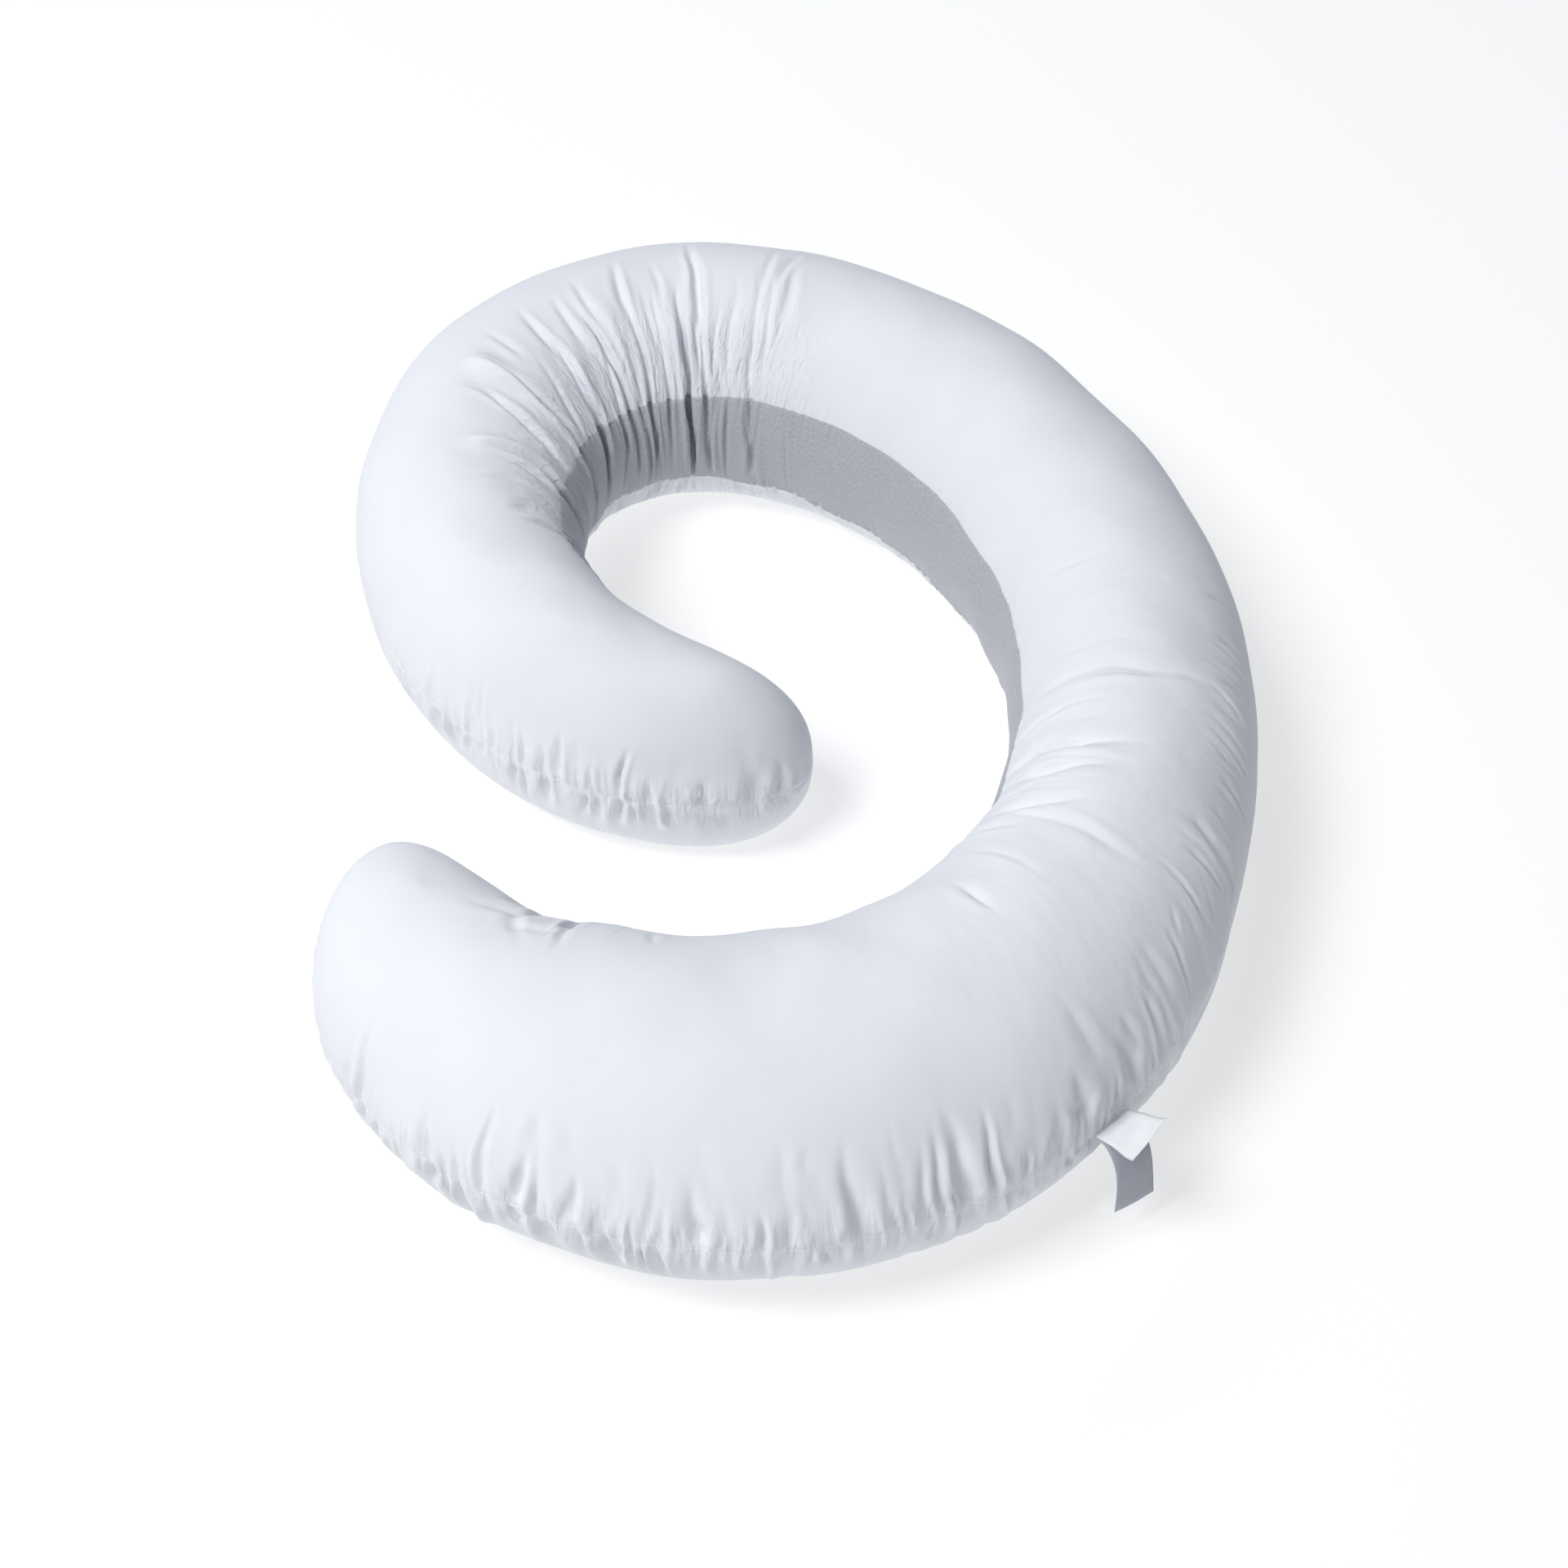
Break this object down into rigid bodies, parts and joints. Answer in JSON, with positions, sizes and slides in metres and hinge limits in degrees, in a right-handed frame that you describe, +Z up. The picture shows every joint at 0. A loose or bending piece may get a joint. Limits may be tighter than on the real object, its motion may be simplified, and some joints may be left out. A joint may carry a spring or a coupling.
{
  "type": "full-body pillow",
  "caption": "Long filled cotton body pillow lying curled like a hook, wide at its free end and rolled in at the other, with a grey knit inner band.",
  "frame": {"origin": "middle of the part's box seen from above, at the level of the surface it rests on", "axes": "+Z up, +Y from the wide free end's side towards the top arc, +X towards the long arm on the right"},
  "size_m": [0.9571, 1.3713, 0.2811],
  "materials": {
    "white_cotton": "smooth cotton percale",
    "grey_knit": "matt grey knit",
    "label_white": "satin ribbon",
    "label_grey": "satin ribbon"
  },
  "bodies": {
    "root": {"filled_body": "white_cotton", "inner_band": "grey_knit", "label_front": "label_white", "label_back": "label_grey"}
  },
  "joints": []
}
